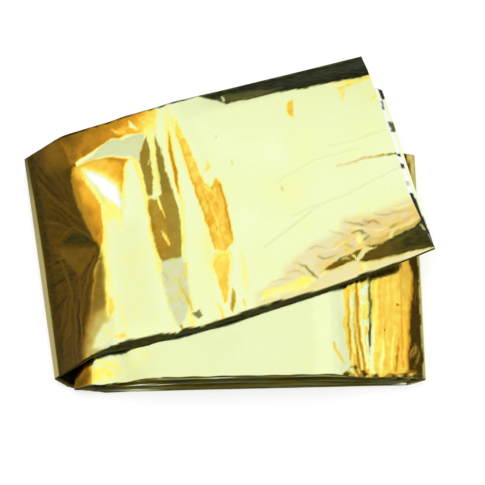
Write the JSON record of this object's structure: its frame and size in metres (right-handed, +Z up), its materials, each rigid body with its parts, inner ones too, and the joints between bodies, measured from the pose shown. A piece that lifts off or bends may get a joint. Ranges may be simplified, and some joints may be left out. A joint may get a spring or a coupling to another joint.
{
  "type": "emergency foil blanket",
  "caption": "Emergency blanket of gold metallised film, folded flat into a packet with its last panel turned over the top at a slant.",
  "frame": {"origin": "on the ground, under the middle of the bounding box", "axes": "+X along the packet's long side, +Y from its front edge to its back edge, +Z up"},
  "size_m": [0.1782, 0.151, 0.0203],
  "materials": {
    "gold_film": "gold metallised polyester film, mirror gloss, crinkled; silver on its inner side"
  },
  "bodies": {
    "root": {"foil_blanket": "gold_film"}
  },
  "joints": []
}
